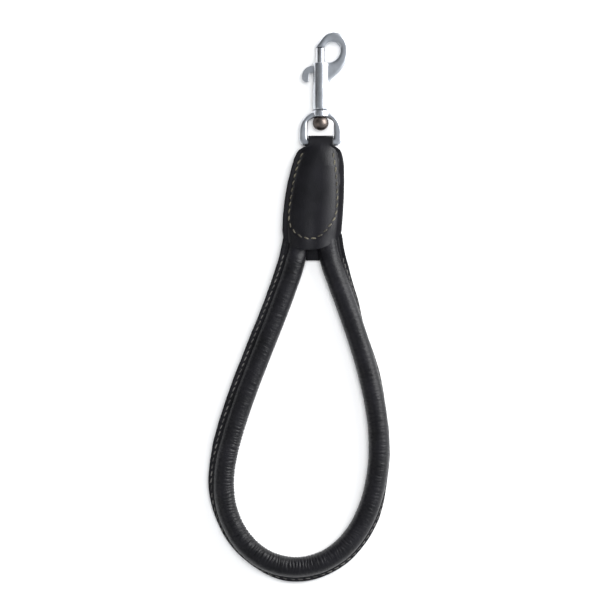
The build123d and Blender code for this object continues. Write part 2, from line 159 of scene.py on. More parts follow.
def from_table(where, table, column):
    """A table's column at a place, smoothly between its rows."""
    places = np.array([row[0] for row in table], float)
    values = np.array([row[column] for row in table], float)
    after = int(np.clip(np.searchsorted(places, where), 1, len(places) - 1))
    share = smooth_step(where, places[after - 1], places[after])
    return values[after - 1] + share * (values[after] - values[after - 1])


def smooth_line(points, height, name):
    """Points along the smooth NURBS line that has these control points."""
    curve = bpy.data.curves.new(name, "CURVE")
    curve.dimensions = "3D"
    curve.resolution_u = 32
    spline = curve.splines.new("NURBS")
    spline.points.add(len(points) - 1)
    for control, (x, y) in zip(spline.points, points):
        control.co = (x, y, height, 1)
    spline.order_u = 3
    spline.use_endpoint_u = True
    holder = bpy.data.objects.new(name, curve)
    bpy.context.scene.collection.objects.link(holder)
    mesh = bpy.data.meshes.new_from_object(holder)
    line = np.array([v.co for v in mesh.vertices], float)
    bpy.data.objects.remove(holder)
    bpy.data.meshes.remove(mesh)
    return line


class Track:
    """A line with places, directions and normals at any distance along it."""

    def __init__(self, line):
        self.line = line
        steps = np.linalg.norm(np.diff(line, axis=0), axis=1)
        self.at = np.concatenate([[0], np.cumsum(steps)])
        self.length = self.at[-1]

    def place(self, distance):
        return Vector([np.interp(distance, self.at, self.line[:, i]) for i in range(3)])

    def along(self, distance, reach=1.5 * MM):
        ahead = min(distance + reach, self.length)
        behind = max(distance - reach, 0)
        return (self.place(ahead) - self.place(behind)).normalized()

    def distance_at_y(self, y, last=False):
        """Distance of the first or last place where the line crosses a height Y."""
        below = np.nonzero(self.line[:, 1] < y)[0]
        return self.at[below[-1] if last else below[0]]


# ---------------------------------------------------------------- finishes
class Reading:
    """A number that changes over a surface. Sums and products of it add Math nodes."""

    def __init__(self, finish, socket):
        self.finish = finish
        self.socket = socket

    def math(self, operation, *terms):
        return self.finish.node("ShaderNodeMath", {"operation": operation}, dict(enumerate(terms)))

    def __add__(self, other):
        return self.math("ADD", self, other)

    __radd__ = __add__

    def __mul__(self, other):
        return self.math("MULTIPLY", self, other)

    __rmul__ = __mul__


class Finish:
    """A material on the standard shader, with its nodes added one by one."""

    def __init__(self, name, **constants):
        self.material = bpy.data.materials.new(name)
        self.material.use_nodes = True
        self.tree = self.material.node_tree
        self.shader = self.tree.nodes["Principled BSDF"]
        self.place = self.node("ShaderNodeTexCoord", output="Object")
        for socket, value in constants.items():
            self.paint(socket.replace("_", " "), value)

    def node(self, kind, settings=None, values=None, output=0):
        made = self.tree.nodes.new(kind)
        for name, value in (settings or {}).items():
            setattr(made, name, value)
        for socket, value in (values or {}).items():
            self.put(made.inputs[socket], value)
        return Reading(self, made.outputs[output])

    def put(self, socket, value):
        if isinstance(value, Reading):
            self.tree.links.new(value.socket, socket)
        else:
            socket.default_value = value

    def paint(self, socket, value):
        self.put(self.shader.inputs[socket], value)

    def cloud(self, scale, detail=2.0, roughness=0.5):
        """Soft noise, from 0 to 1; scale is in cycles per metre."""
        values = {"Vector": self.place, "Scale": scale, "Detail": detail, "Roughness": roughness}
        return self.node("ShaderNodeTexNoise", None, values)

    def cells(self, scale):
        """Distance from the middle of small cells; scale is in cells per metre."""
        return self.node("ShaderNodeTexVoronoi", {"feature": "F1"}, {"Vector": self.place, "Scale": scale})

    def carried(self, name, output="Fac"):
        """A number, or a vector, stored on the mesh."""
        return self.node("ShaderNodeAttribute", {"attribute_name": name}, output=output)

    def between(self, factor, low, high):
        """A colour from low to high."""
        mixer = self.tree.nodes.new("ShaderNodeMix")
        mixer.data_type = "RGBA"
        self.put(mixer.inputs[0], factor)
        self.put(mixer.inputs[6], low)
        self.put(mixer.inputs[7], high)
        return Reading(self, mixer.outputs[2])

    def limited(self, value, low, high):
        """A number mapped from low..high to 0..1 and kept inside it."""
        values = {"Value": value, "From Min": low, "From Max": high}
        return self.node("ShaderNodeMapRange", {"clamp": True}, values)

    def relief(self, height, depth, strength=1.0):
        values = {"Height": height, "Distance": depth, "Strength": strength}
        self.paint("Normal", self.node("ShaderNodeBump", None, values))


def colour(red, green, blue):
    return (red, green, blue, 1.0)


def black_leather(name, with_edges_and_crease_shade):
    """Waxed black harness leather: fine grain, a faint blue tint; on the rope, paler cut edges and painted
    shade darkening its folds.
    """
    finish = Finish(name, Specular_IOR_Level=0.26, Coat_Roughness=0.30)
    pores = finish.cells(1300)
    grain = finish.cloud(2400, 3.0)
    patches = finish.cloud(60, 4.0)
    tint = finish.between(finish.limited(patches, 0.3, 0.7), colour(0.0018, 0.0018, 0.0024),
                          colour(0.0060, 0.0057, 0.0078))
    dullness = 0.28 + 0.20 * patches + 0.10 * grain
    surface = pores * 0.5 + grain * 0.4
    if with_edges_and_crease_shade:
        cut = finish.carried("cut_edge")
        fold = finish.carried("fold")
        tint = finish.between(cut, tint, colour(0.020, 0.017, 0.016))
        # painted shade: the rope turns darker in its pucker valleys, at the flange's root and along the join of
        # its two cut edges
        tint = finish.between(fold * 0.8, tint, colour(0.0015, 0.0015, 0.0018))
        dullness = dullness + 0.22 * cut
        wrinkles = finish.node("ShaderNodeTexNoise", None, {
            "Vector": finish.carried("lay", "Vector"), "Scale": 1.0, "Detail": 3.0, "Distortion": 0.6})
        surface = surface + 3.0 * finish.limited(wrinkles, 0.3, 0.7)
    finish.paint("Base Color", tint)
    finish.paint("Roughness", dullness)
    finish.paint("Coat Weight", 0.10)
    finish.relief(surface, 0.12 * MM, 0.9)
    return finish.material


def waxed_thread(name, shade, glint):
    """Twisted waxed thread, dark, with a painted highlight in pale patches along it."""
    finish = Finish(name, Specular_IOR_Level=0.4)
    strands = finish.cloud(1900, 2.0)
    drift = finish.cloud(120, 1.0)
    # painted highlight: pale patches where the thread turns towards its glint colour
    glint_share = finish.limited(strands * 0.5 + drift * 0.5, 0.36, 0.62)
    finish.paint("Base Color", finish.between(glint_share, shade, glint))
    finish.paint("Roughness", 0.55 + 0.15 * strands)
    finish.relief(strands, 0.12 * MM, 0.8)
    return finish.material


def plated_metal(name, tint, dullness, pitting):
    """Cast metal with a satin plate: soft waviness and a few fine scratches in the gloss."""
    finish = Finish(name, Metallic=1.0)
    waves = finish.cloud(160, 2.0)
    marks = finish.cloud(1400, 4.0, 0.65)
    dark = tuple(0.82 * part for part in tint[:3])
    finish.paint("Base Color", finish.between(finish.limited(waves, 0.35, 0.65), colour(*dark), tint))
    finish.paint("Roughness", dullness + 0.08 * waves + 0.10 * marks)
    finish.relief(waves * 0.7 + marks * 0.3, 0.05 * MM, pitting)
    return finish.material


def plain_fibre(name, tint, scale):
    """Matt fibre or raw leather, mostly out of sight."""
    finish = Finish(name)
    fibres = finish.cloud(scale, 3.0)
    paler = tuple(min(1.0, 1.35 * part) for part in tint[:3])
    finish.paint("Base Color", finish.between(fibres, tint, colour(*paler)))
    finish.paint("Roughness", 0.75 + 0.15 * fibres)
    finish.relief(fibres, 0.1 * MM, 0.6)
    return finish.material


ROLLED_LEATHER = black_leather("rolled_black_leather", True)
TAB_LEATHER = black_leather("tab_black_leather", False)
# each thread's second colour is its painted highlight: pale grey on the seam, tan on the tab
SEAM_THREAD = waxed_thread("seam_thread", colour(0.020, 0.020, 0.021), colour(0.15, 0.145, 0.135))
TAB_THREAD = waxed_thread("tab_thread", colour(0.014, 0.013, 0.012), colour(0.13, 0.118, 0.085))
NICKEL = plated_metal("satin_nickel", colour(0.66, 0.685, 0.72), 0.25, 0.25)
BOLT_NICKEL = plated_metal("drawn_nickel", colour(0.70, 0.715, 0.74), 0.22, 0.12)
RIVET_STEEL = plated_metal("dark_rivet_steel", colour(0.21, 0.175, 0.155), 0.27, 0.35)
SPRING_STEEL = plated_metal("spring_steel", colour(0.55, 0.55, 0.56), 0.22, 0.10)
CORE_CORD = plain_fibre("core_cord", colour(0.42, 0.36, 0.27), 900)

# ---------------------------------------------------------------- rolled rope
FINE_STEP, COARSE_STEP = 0.40 * MM, 0.80 * MM
AROUND_ROUND, AROUND_FLANGE = 54, 12          # points round the roll, and on each side of the flange
FLANGE_ANGLE = math.asin(FLANGE_HALF / ROPE_R)
VALLEY_DEPTH, VALLEY_SPREAD = 0.65 * MM, math.radians(10)
GROOVE_DEPTH, GROOVE_SPREAD = 0.20 * MM, 0.55 * MM
WRINKLES_ALONG, WRINKLES_AROUND = 520, 130    # fine wrinkles for each metre along the roll and round it

rope = Track(smooth_line(ROUTE, ROPE_R, "rope_line"))
mouth_left = rope.distance_at_y(MOUTH_Y)
mouth_right = rope.distance_at_y(MOUTH_Y, last=True)


def loop_share(distance):
    """How far round the free loop a place is: 0 at the left of the tab's mouth, 1 at the right."""
    return (distance - mouth_left) / (mouth_right - mouth_left)


def in_tab(distance):
    """1 where the tab presses the rope flat, 0 in the free loop."""
    from_mouth = min(distance - mouth_left, mouth_right - distance)
    return 1 - smooth_step(from_mouth, -5.5 * MM, 3.5 * MM)


def flange_tilt(distance):
    return math.radians(from_table(loop_share(distance), FLANGE_LIE, 1))


def flange_reach(distance):
    from_mouth = min(distance - mouth_left, mouth_right - distance)
    hidden = 1 - smooth_step(from_mouth, -22 * MM, -12 * MM)
    ripple = 0.22 * noise.noise(Vector((distance / (9 * MM), 3.7, 0.4)))
    reach = (from_table(loop_share(distance), FLANGE_LIE, 2) + ripple) * MM
    return reach + hidden * (ROPE_R + 0.3 * MM - reach)


def rope_frame(distance):
    """Place, outward and upward directions of the rope's section, turned with its flange."""
    outward = rope.along(distance).cross(Vector((0, 0, 1))).normalized()
    tilt = flange_tilt(distance)
    out = outward * math.cos(tilt) + Vector((0, 0, math.sin(tilt)))
    up = Vector((0, 0, math.cos(tilt))) - outward * math.sin(tilt)
    return rope.place(distance), out, up


def pucker(distance, angle):
    """Height of the puckers: narrow valleys between rounded folds on the loop's inner side, from -1 to 0."""
    strength = from_table(loop_share(distance), PUCKERS, 1) * (1 - in_tab(distance))
    uneven = noise.noise(Vector((distance / (5.0 * MM), 0.9 * math.cos(angle), 2.0 + math.sin(angle))))
    size = noise.noise(Vector((distance / (2.4 * MM), 7.3, 1.1 * math.sin(angle))))
    ragged = 14 * noise.noise(Vector((distance / (3.1 * MM), 1.7, 4.0)))
    from_inside = abs(math.degrees(angle) - 180) + ragged
    cover = 1 - smooth_step(from_inside, 48, 92)
    phase = math.pi * distance / PUCKER_PITCH + 2.3 * uneven
    return -strength * cover * (0.75 + 0.7 * size) * (1 - abs(math.sin(phase))) ** 1.4


def section(distance):
    """The rope's outline at a distance: (out, up, wear of the cut edge, depth of the fold) for each point; the
    leather paints the fold's depth as shade.
    """
    reach = flange_reach(distance)
    pressed = in_tab(distance)
    wide = 1 + pressed * (PRESSED_HALF_WIDTH / ROPE_R - 1)
    high = 1 + pressed * (PRESSED_HALF_HEIGHT / ROPE_R - 1)
    outline = []
    for i in range(AROUND_ROUND):
        angle = FLANGE_ANGLE + (2 * math.pi - 2 * FLANGE_ANGLE) * i / (AROUND_ROUND - 1)
        beside = min(angle - FLANGE_ANGLE, 2 * math.pi - FLANGE_ANGLE - angle)
        valley = VALLEY_DEPTH * math.exp(-((beside / VALLEY_SPREAD) ** 2))
        fold = pucker(distance, angle)
        place = Vector((distance / (11 * MM), 2 * math.cos(angle), 2 * math.sin(angle)))
        radius = ROPE_R - valley + PUCKER_DEPTH * fold + 0.10 * MM * noise.noise(place)
        # the pucker's depth, up to 1, is kept for the painted crease shade
        outline.append((radius * wide * math.cos(angle), radius * high * math.sin(angle), 0, min(-fold, 1)))
    root = ROPE_R * math.cos(FLANGE_ANGLE) + 0.25 * MM
    side = []
    for i in range(AROUND_FLANGE):
        out = root + (reach - 0.18 * MM - root) * i / (AROUND_FLANGE - 1)
        groove = GROOVE_DEPTH * math.exp(-(((out - STITCH_LINE) / GROOVE_SPREAD) ** 2))
        # the flange's root gets a quarter of the painted crease shade
        side.append((out, FLANGE_HALF - groove, 0.0, 0.25 if i == 0 else 0.0))
    # the line where the two cut edges meet is painted fully shaded
    edge = [(reach, FLANGE_HALF * 0.72, 1, 0), (reach, FLANGE_HALF * 0.22, 1, 0), (reach - 0.25 * MM, 0, 1, 1)]
    upper = side + edge
    lower = [(out, -up, cut, fold) for out, up, cut, fold in upper[:-1]]
    return outline + lower + upper[::-1]


def make_rope():
    """The rolled rope with its flange, one ring of points after another."""
    distances = [0.0]
    while distances[-1] < rope.length:
        strength = from_table(loop_share(distances[-1]), PUCKERS, 1)
        distances.append(distances[-1] + COARSE_STEP + (FINE_STEP - COARSE_STEP) * min(1, 1.6 * strength))
    distances[-1] = rope.length
    vertices, cuts, folds, lay = [], [], [], []
    for distance in distances:
        place, out, up = rope_frame(distance)
        for across, height, cut, fold in section(distance):
            lay += [distance * WRINKLES_ALONG, height * WRINKLES_AROUND, across * WRINKLES_AROUND]
            point = place + out * across + up * height
            point.z = max(point.z, 0.05 * MM)
            vertices.append(point)
            cuts.append(cut)
            folds.append(fold)
    ring = len(vertices) // len(distances)
    faces = []
    for row in range(len(distances) - 1):
        for i in range(ring):
            a, b = row * ring + i, row * ring + (i + 1) % ring
            faces.append((a, a + ring, b + ring, b))
    for row, turn in ((0, 1), (len(distances) - 1, -1)):
        middle = len(vertices)
        vertices.append(rope.place(distances[row]))
        cuts.append(1.0)
        folds.append(0.0)
        lay += [0.0, 0.0, 0.0]
        for i in range(ring):
            a, b = row * ring + i, row * ring + (i + 1) % ring
            faces.append((a, b, middle)[::turn])
    piece = add_piece("rolled_rope", vertices, faces, ROLLED_LEATHER)
    # the fold values become painted shade in the leather
    for name, values in (("cut_edge", cuts), ("fold", folds)):
        piece.data.attributes.new(name, "FLOAT", "POINT").data.foreach_set("value", values)
    piece.data.attributes.new("lay", "FLOAT_VECTOR", "POINT").data.foreach_set("vector", lay)
    return piece


rolled_rope = make_rope()
face_outward(rolled_rope)


# ---------------------------------------------------------------- stitches
def stitch_rule():
    """Geometry Nodes: one short bowed stitch at each point, laid along the point's own directions."""
    tree = bpy.data.node_groups.new("row_of_stitches", "GeometryNodeTree")
    tree.interface.new_socket("Points", in_out="INPUT", socket_type="NodeSocketGeometry")
    for name in ("Length", "Width", "Rise"):
        tree.interface.new_socket(name, in_out="INPUT", socket_type="NodeSocketFloat")
    tree.interface.new_socket("Thread", in_out="INPUT", socket_type="NodeSocketMaterial")
    tree.interface.new_socket("Stitches", in_out="OUTPUT", socket_type="NodeSocketGeometry")

    def node(kind, settings=None, values=None):
        made = tree.nodes.new(kind)
        for name, value in (settings or {}).items():
            setattr(made, name, value)
        for socket, value in (values or {}).items():
            if isinstance(value, bpy.types.NodeSocket):
                tree.links.new(value, made.inputs[socket])
            else:
                made.inputs[socket].default_value = value
        return made

    def sums(operation, *terms):
        return node("ShaderNodeMath", {"operation": operation}, dict(enumerate(terms))).outputs[0]

    given = node("NodeGroupInput").outputs
    half = sums("MULTIPLY", given["Length"], 0.5)
    sunk = sums("MULTIPLY", given["Rise"], -1.0)
    crown = sums("MULTIPLY", given["Rise"], 1.6)
    start = node("ShaderNodeCombineXYZ", None, {"X": sums("MULTIPLY", half, -1.0), "Z": sunk}).outputs[0]
    end = node("ShaderNodeCombineXYZ", None, {"X": half, "Z": sunk}).outputs[0]
    top = node("ShaderNodeCombineXYZ", None, {"Z": crown}).outputs[0]
    values = {"Resolution": 7, "Start": start, "Middle": top, "End": end}
    bow = node("GeometryNodeCurveQuadraticBezier", None, values)
    share = node("GeometryNodeSplineParameter").outputs["Factor"]
    bulge = sums("MULTIPLY", sums("MULTIPLY", share, sums("SUBTRACT", 1.0, share)), 4.0)
    girth = sums("ADD", sums("MULTIPLY", sums("POWER", bulge, 0.5), 0.55), 0.45)
    shaped = node("GeometryNodeSetCurveRadius", None, {"Curve": bow.outputs[0], "Radius": girth})
    ring = node("GeometryNodeCurvePrimitiveCircle", None,
                {"Resolution": 7, "Radius": sums("MULTIPLY", given["Width"], 0.5)})
    values = {"Curve": shaped.outputs[0], "Profile Curve": ring.outputs[0], "Fill Caps": True}
    stitch = node("GeometryNodeCurveToMesh", None, values)
    if "Scale" in stitch.inputs:
        tree.links.new(girth, stitch.inputs["Scale"])
    along = node("GeometryNodeInputNamedAttribute", {"data_type": "FLOAT_VECTOR"}, {"Name": "along"}).outputs[0]
    lift = node("GeometryNodeInputNamedAttribute", {"data_type": "FLOAT_VECTOR"}, {"Name": "lift"}).outputs[0]
    turn = node("FunctionNodeAxesToRotation", {"primary_axis": "X", "secondary_axis": "Z"},
                {"Primary Axis": along, "Secondary Axis": lift}).outputs[0]
    uneven = node("FunctionNodeRandomValue", {"data_type": "FLOAT"}, {2: 0.9, 3: 1.08, "Seed": 5}).outputs[1]
    values = {"Points": given["Points"], "Instance": stitch.outputs[0], "Rotation": turn, "Scale": uneven}
    laid = node("GeometryNodeInstanceOnPoints", None, values)
    real = node("GeometryNodeRealizeInstances", None, {"Geometry": laid.outputs[0]})
    dressed = node("GeometryNodeSetMaterial", None, {"Geometry": real.outputs[0], "Material": given["Thread"]})
    node("NodeGroupOutput", None, {"Stitches": dressed.outputs[0]})
    return tree


STITCHES = stitch_rule()


def sew(name, places, length, width, rise, thread):
    """A piece of stitches at (place, direction, lift) triples."""
    points = bpy.data.meshes.new(name)
    points.from_pydata([tuple(place) for place, _, _ in places], [], [])
    for label, column in (("along", 1), ("lift", 2)):
        numbers = [part for row in places for part in row[column]]
        points.attributes.new(label, "FLOAT_VECTOR", "POINT").data.foreach_set("vector", numbers)
    holder = bpy.data.objects.new(name + "_points", points)
    bpy.context.scene.collection.objects.link(holder)
    rule = holder.modifiers.new("stitches", "NODES")
    rule.node_group = STITCHES
    sockets = {item.name: item.identifier for item in STITCHES.interface.items_tree if item.in_out == "INPUT"}
    for label, value in (("Length", length), ("Width", width), ("Rise", rise), ("Thread", thread)):
        rule[sockets[label]] = value
    evaluated = holder.evaluated_get(bpy.context.evaluated_depsgraph_get())
    mesh = bpy.data.meshes.new_from_object(evaluated)
    mesh.shade_smooth()
    bpy.data.objects.remove(holder)
    piece = bpy.data.objects.new(name, mesh)
    bpy.context.scene.collection.objects.link(piece)
    return piece


SEAM_SLANT = math.radians(9)
SEAM_END_GAP = 2.5 * MM           # from the tab's mouth to the first and last stitch
SEAM_EDGE_GAP = 1.1 * MM          # least leather outside the seam
SEAM_SUNK = 0.12 * MM
SEAM_LOWEST = 0.35 * MM           # above the floor


def seam_places(side):
    """Places of the stitches on the flange's upper (1) or lower (-1) face."""
    places = []
    distance = mouth_left + SEAM_END_GAP
    while distance < mouth_right - SEAM_END_GAP:
        place, out, up = rope_frame(distance)
        height = side * (FLANGE_HALF - SEAM_SUNK)
        direction = rope.along(distance) + out * math.tan(SEAM_SLANT) * side
        reach = min(STITCH_LINE, flange_reach(distance) - SEAM_EDGE_GAP)
        point = place + out * reach + up * height
        point.z = max(point.z, SEAM_LOWEST)
        places.append((point, direction.normalized(), up * side))
        distance += STITCH_PITCH
    return places


seam_front = sew("seam_front_thread", seam_places(1), 3.3 * MM, 0.85 * MM, 0.26 * MM, SEAM_THREAD)
seam_back = sew("seam_back_thread", seam_places(-1), 3.3 * MM, 0.85 * MM, 0.20 * MM, SEAM_THREAD)

# ---------------------------------------------------------------- tab
eye_low, eye_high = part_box("swivel_eye")
BAR_Z = (eye_low.z + eye_high.z) / 2
DOME_FOOT, DOME_WIDTH = 3.2 * MM, 11.5 * MM     # the dome rises from its foot, this far in from the leaf's edge
END_CURVE_X, END_CURVE_HALF, END_CURVE_RISE = -3.0 * MM, 18.5 * MM, 9.0 * MM
CREST_RUN = 15.0 * MM                           # the dome reaches its full height this far below the bar
MIDDLE_RUN = 15.4 * MM                          # the middle plane comes level with the rope this far below it
RIM_THINS_FROM, RIM_THINS_TO = 1.0 * MM, 7.5 * MM
HOLLOW_DEPTH, HOLLOW_HALF = 0.55 * MM, 3.6 * MM  # between the rope's legs
SEAM_DIP, SEAM_DIP_HALF = 0.30 * MM, 0.75 * MM  # the thread pulls the leather in
EDGE_ROUNDING, EDGE_DROP = 0.7 * MM, 0.45 * MM
LEAF_FOOT_Y = -60 * MM                          # the leaf's rounded end takes its width from here
TAB_STITCH_PITCH = 4.5 * MM
TAB_STITCH_SLANT = 0.24                         # sideways for each unit along the row
TAB_STITCH_LOWEST = 0.3 * MM
TAIL_SIZE = Vector((9.2, 14.5, 3.0)) * MM
TAIL_X, TAIL_Y, TAIL_GAP = -1.4 * MM, -67.2 * MM, 0.05 * MM
tab_row = Track(smooth_line(TAB_ROW, 0, "tab_row"))
row_tree = kdtree.KDTree(len(tab_row.line))
for index, point in enumerate(tab_row.line):
    row_tree.insert(point, index)
row_tree.balance()


def tab_outline(y, column):
    """The tab's middle X (column 1) or half width (column 2) at a Y."""
    places = [row[0] * MM for row in TAB_OUTLINE]
    return float(np.interp(y, places, [row[column] * MM for row in TAB_OUTLINE]))


def tab_middle_height(y):
    """Height of the tab's middle plane: level with the bar at the eye, with the rope below."""
    share = min(max((BAR_Y - y) / MIDDLE_RUN, 0), 1)
    return BAR_Z + share * (ROPE_R - BAR_Z)


def leaf_rise(x, y):
    """Height of a leaf's outer face over the tab's middle plane."""
    middle, half = tab_outline(y, 1), tab_outline(y, 2)
    below_bar = max(BAR_Y - y, 0)
    crest = FOLD_R + (ROPE_R - FOLD_R) * math.sin(math.pi / 2 * min(below_bar / CREST_RUN, 1)) ** 1.2
    rim = FOLD_R + (LEAF - FOLD_R) * float(smooth_step(below_bar, RIM_THINS_FROM, RIM_THINS_TO))
    inward = half - abs(x - middle)
    fill = math.sin(math.pi / 2 * min(max((inward - DOME_FOOT) / DOME_WIDTH, 0), 1)) ** 0.62
    rise = rim + (crest - rim) * fill
    between_legs = math.exp(-(((x - middle - 1.2 * MM) / HOLLOW_HALF) ** 2))
    rise -= HOLLOW_DEPTH * between_legs * float(smooth_step(below_bar, 28 * MM, 62 * MM))
    near_end = float(smooth_step(below_bar, 60 * MM, 70 * MM))
    rise += 0.35 * MM * near_end * fill
    _, _, from_row = row_tree.find((x, y, 0))
    rise -= SEAM_DIP * math.exp(-((from_row / SEAM_DIP_HALF) ** 2))
    rise += 0.10 * MM * noise.noise(Vector((x / (9 * MM), y / (14 * MM), 0.3)))
    rounding = max(0.0, 1 - inward / EDGE_ROUNDING)
    return rise - EDGE_DROP * rounding ** 2


def leaf_end(x):
    """Y of a leaf's rounded end."""
    return FRONT_END + END_CURVE_RISE * min(abs(x - END_CURVE_X) / END_CURVE_HALF, 1.1) ** 2.6


def make_tab():
    """The leather strap folded round the eye's bar: front leaf, fold and back leaf as one closed shell."""
    across, down, turn = 84, 124, 18
    shares = [math.sin(math.pi / 2 * (2 * i / (across - 1) - 1)) * 0.35 + (2 * i / (across - 1) - 1) * 0.65
              for i in range(across)]
    outer, inner = [], []
    for side in (1, -1):
        rows = range(down) if side == 1 else reversed(range(down))
        for row in rows:
            share = row / (down - 1)
            for w in shares:
                low = leaf_end(tab_outline(LEAF_FOOT_Y, 1) + w * tab_outline(LEAF_FOOT_Y, 2))
                y = low + share * (BAR_Y - low)
                x = tab_outline(y, 1) + w * tab_outline(y, 2)
                rise = leaf_rise(x, y)
                height = tab_middle_height(y)
                wall = max(rise - LEAF, 0.06 * MM)
                outer.append(Vector((x, y, max(height + side * rise, 0.03 * MM))))
                inner.append(Vector((x, y, height + side * wall)))
        if side == 1:
            for step in range(1, turn):
                angle = math.pi / 2 - math.pi * step / turn
                for w in shares:
                    x = tab_outline(BAR_Y, 1) + w * FOLD_HALF
                    thin = 0.45 * MM * max(0.0, (abs(w) - 0.94) / 0.06) ** 2
                    for shell, radius in ((outer, FOLD_R - thin), (inner, FOLD_R - LEAF)):
                        back, high = radius * math.cos(angle), radius * math.sin(angle)
                        shell.append(Vector((x, BAR_Y + back, BAR_Z + high)))
    rows = len(outer) // across
    count = len(outer)
    faces = []
    for row in range(rows - 1):
        for i in range(across - 1):
            a = row * across + i
            faces.append((a, a + 1, a + 1 + across, a + across))
            faces.append((count + a, count + a + across, count + a + 1 + across, count + a + 1))
        for i, step in ((0, 1), (across - 1, -1)):
            a = row * across + i
            faces.append((a, a + across, count + a + across, count + a)[::step])
    for row, step in ((0, -1), (rows - 1, 1)):
        for i in range(across - 1):
            a = row * across + i
            faces.append((a, a + 1, count + a + 1, count + a)[::step])
    return add_piece("tab_leather", outer + inner, faces, TAB_LEATHER)


tab_leather = make_tab()
face_outward(tab_leather)
crease_sharp_edges(tab_leather, 50)


def tab_places(side):
    """Places of the tab's stitches on its front (1) or back (-1) leaf."""
    count = int(tab_row.length / TAB_STITCH_PITCH)
    places = []
    for i in range(count):
        distance = (i + 0.5) * tab_row.length / count
        here = tab_row.place(distance)
        direction = tab_row.along(distance)
        sideways = direction.cross(Vector((0, 0, 1)))
        step = 0.5 * MM
        slope_x = (leaf_rise(here.x + step, here.y) - leaf_rise(here.x - step, here.y)) / (2 * step)
        slope_y = (leaf_rise(here.x, here.y + step) - leaf_rise(here.x, here.y - step)) / (2 * step)
        height = tab_middle_height(here.y) + side * leaf_rise(here.x, here.y)
        lift = Vector((-slope_x, -slope_y, 1)).normalized()
        lift.z *= side
        slanted = (direction + sideways * TAB_STITCH_SLANT).normalized()
        slanted.z = side * (slope_x * slanted.x + slope_y * slanted.y)
        places.append((Vector((here.x, here.y, max(height, TAB_STITCH_LOWEST))), slanted.normalized(), lift))
    return places


tab_front = sew("tab_front_thread", tab_places(1), 3.6 * MM, 1.15 * MM, 0.40 * MM, TAB_THREAD)
tab_back = sew("tab_back_thread", tab_places(-1), 3.5 * MM, 0.95 * MM, 0.26 * MM, TAB_THREAD)


def make_tail():
    """The end of the back leaf, showing between the rope's legs."""
    form = bmesh.new()
    bmesh.ops.create_cube(form, size=1.0)
    centre = Vector((TAIL_X, TAIL_Y, TAIL_SIZE.z / 2 + TAIL_GAP))
    for vertex in form.verts:
        vertex.co = vertex.co * TAIL_SIZE + centre
    bmesh.ops.bevel(form, geom=form.edges[:], offset=0.9 * MM, segments=4, profile=0.5, affect="EDGES")
    mesh = bpy.data.meshes.new("tab_tail")
    form.to_mesh(mesh)
    form.free()
    mesh.materials.append(TAB_LEATHER)
    mesh.shade_smooth()
    piece = bpy.data.objects.new("tab_tail", mesh)
    bpy.context.scene.collection.objects.link(piece)
    return piece


tab_tail = make_tail()


# ---------------------------------------------------------------- metal
def merged_copy(node, name, finish):
    """A CAD node's own shape as one joined, smooth-shaded mesh."""
    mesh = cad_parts[node].data.copy()
    mesh.name = name
    form = bmesh.new()
    form.from_mesh(mesh)
    bmesh.ops.remove_doubles(form, verts=form.verts, dist=0.002 * MM)
    form.to_mesh(mesh)
    form.free()
    mesh.materials.clear()
    mesh.materials.append(finish)
    mesh.shade_smooth()
    piece = bpy.data.objects.new(name, mesh)
    bpy.context.scene.collection.objects.link(piece)
    return piece


def cast_copy(node, name, voxel, rounds, finish):
    """A CAD node's shape with its edges and joins rounded as a casting's are."""
    piece = merged_copy(node, name, finish)
    remesh = piece.modifiers.new("remesh", "REMESH")
    remesh.mode = "VOXEL"
    remesh.voxel_size = voxel
    relax = piece.modifiers.new("relax", "SMOOTH")
    relax.factor = 0.5
    relax.iterations = rounds
    done = bpy.data.meshes.new_from_object(piece.evaluated_get(bpy.context.evaluated_depsgraph_get()))
    piece.modifiers.clear()
    piece.data = done
    done.name = name
    done.materials.clear()
    done.materials.append(finish)
    done.shade_smooth()
    return piece


def turned(name, profile, axis_x, axis_z, finish, around=72):
    """A piece turned about a line along Y: profile is (radius, y) from one pole to the other."""
    vertices, faces = [], []
    for radius, y in profile[1:-1]:
        for i in range(around):
            angle = 2 * math.pi * i / around
            vertices.append((axis_x + radius * math.cos(angle), y, axis_z + radius * math.sin(angle)))
    rows = len(profile) - 2
    for row in range(rows - 1):
        for i in range(around):
            a, b = row * around + i, row * around + (i + 1) % around
            faces.append((a, a + around, b + around, b))
    for row, y in ((0, profile[0][1]), (rows - 1, profile[-1][1])):
        middle = len(vertices)
        vertices.append((axis_x, y, axis_z))
        for i in range(around):
            a, b = row * around + i, row * around + (i + 1) % around
            faces.append((a, b, middle) if row == 0 else (b, a, middle))
    piece = add_piece(name, vertices, faces, finish)
    crease_sharp_edges(piece, 35)
    return piece


hook_body = cast_copy("hook_body", "cast_hook", 0.30 * MM, 40, NICKEL)
swivel_eye = cast_copy("swivel_eye", "cast_eye", 0.24 * MM, 24, NICKEL)
thumb_lever = cast_copy("thumb_lever", "cast_lever", 0.16 * MM, 30, NICKEL)
bolt_spring = merged_copy("bolt_spring", "coil_spring", SPRING_STEEL)

bolt_low, bolt_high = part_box("latch_bolt")
SNAP_X = (bolt_low.x + bolt_high.x) / 2
SNAP_Z = (bolt_low.z + bolt_high.z) / 2
BOLT_R = (bolt_high.x - bolt_low.x) / 2 - 0.03 * MM
BOLT_CHAMFER = 0.45 * MM
bolt_profile = [(0, bolt_low.y), (BOLT_R - BOLT_CHAMFER, bolt_low.y), (BOLT_R, bolt_low.y + BOLT_CHAMFER)]
bolt_profile += [(BOLT_R, bolt_high.y - BOLT_CHAMFER)]
bolt_profile += [(BOLT_R - BOLT_CHAMFER * (1 - math.cos(math.pi / 2 * i / 5)),
                  bolt_high.y - BOLT_CHAMFER * (1 - math.sin(math.pi / 2 * i / 5))) for i in range(1, 6)]
bolt_profile += [(0, bolt_high.y)]
latch_bolt = turned("turned_bolt", bolt_profile, SNAP_X, SNAP_Z, BOLT_NICKEL)

